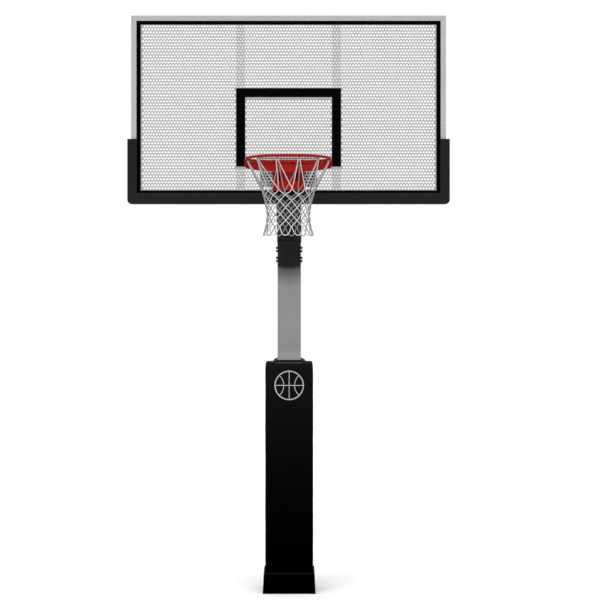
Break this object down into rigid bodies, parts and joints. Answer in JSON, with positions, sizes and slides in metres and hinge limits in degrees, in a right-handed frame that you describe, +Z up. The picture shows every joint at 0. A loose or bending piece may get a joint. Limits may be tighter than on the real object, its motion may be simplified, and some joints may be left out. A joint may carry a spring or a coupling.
{
  "type": "basketball hoop",
  "caption": "Single-post basketball hoop: square pole with pad and base skirt, cantilever arm, framed perforated backboard with edge pad, sprung breakaway rim and net.",
  "frame": {"origin": "centre of the base plate's underside, on the ground under the pole", "axes": "+Z up along the pole; the backboard faces -Y; +X to the right seen from the court"},
  "size_m": [1.8718, 2.1933, 3.559],
  "materials": {
    "anchor_steel": "satin",
    "zinc_plated": "satin",
    "spring_steel": "satin",
    "black_oxide": "satin",
    "grey_paint": "satin",
    "black_paint": "satin",
    "light_metal": "satin",
    "panel_sheet": "satin",
    "board_pad_foam": "matte",
    "red_paint": "gloss",
    "net_cord": "matte",
    "pad_vinyl": "satin",
    "strap_webbing": "matte",
    "skirt_plastic": "satin"
  },
  "bodies": {
    "hoop": {"base_plate": "anchor_steel", "splice_sleeve": "anchor_steel", "anchor_stud_1": "zinc_plated", "anchor_stud_2": "zinc_plated", "anchor_stud_3": "zinc_plated", "anchor_stud_4": "zinc_plated", "anchor_nut_1": "zinc_plated", "anchor_nut_2": "zinc_plated", "anchor_nut_3": "zinc_plated", "anchor_nut_4": "zinc_plated", "splice_bolt_1": "zinc_plated", "splice_bolt_2": "zinc_plated", "splice_bolt_3": "zinc_plated", "splice_bolt_4": "zinc_plated", "splice_nut_1": "zinc_plated", "splice_nut_2": "zinc_plated", "splice_nut_3": "zinc_plated", "splice_nut_4": "zinc_plated", "rim_spacer_left": "zinc_plated", "rim_spacer_right": "zinc_plated", "hinge_pin": "zinc_plated", "rim_spring_left": "spring_steel", "rim_spring_right": "spring_steel", "rim_bolt_1": "black_oxide", "rim_bolt_2": "black_oxide", "rim_bolt_3": "black_oxide", "rim_bolt_4": "black_oxide", "pole": "grey_paint", "arm_post": "black_paint", "post_cap": "black_paint", "arm_tube": "black_paint", "arm_flange": "black_paint", "board_rail_bottom": "light_metal", "board_rail_left": "light_metal", "board_rail_top": "light_metal", "board_rail_right": "light_metal", "rear_upright_left": "light_metal", "rear_upright_right": "light_metal", "rear_cross_lower": "light_metal", "rear_cross_upper": "light_metal", "perforated_panel": "panel_sheet", "board_pad": "board_pad_foam", "rim_back_plate": "red_paint", "pole_pad": "pad_vinyl", "pad_collar": "pad_vinyl", "pad_strap_1": "strap_webbing", "pad_strap_2": "strap_webbing", "pad_strap_3": "strap_webbing", "skirt_front": "skirt_plastic", "skirt_rear": "skirt_plastic"},
    "rim": {"ring_rod": "red_paint", "ring_brace": "red_paint", "rim_bracket": "red_paint", "net": "net_cord"}
  },
  "joints": [
    {"name": "rim_breakaway", "type": "hinge", "parent": "hoop", "child": "rim", "pos_m": [0, -1.4275, 2.657], "axis": [1, 0, 0], "range_deg": [0, 30], "stiffness_Nm_per_rad": 600, "springref_deg": -45.84, "deforming": ["rim_spring_left", "rim_spring_right"]}
  ]
}
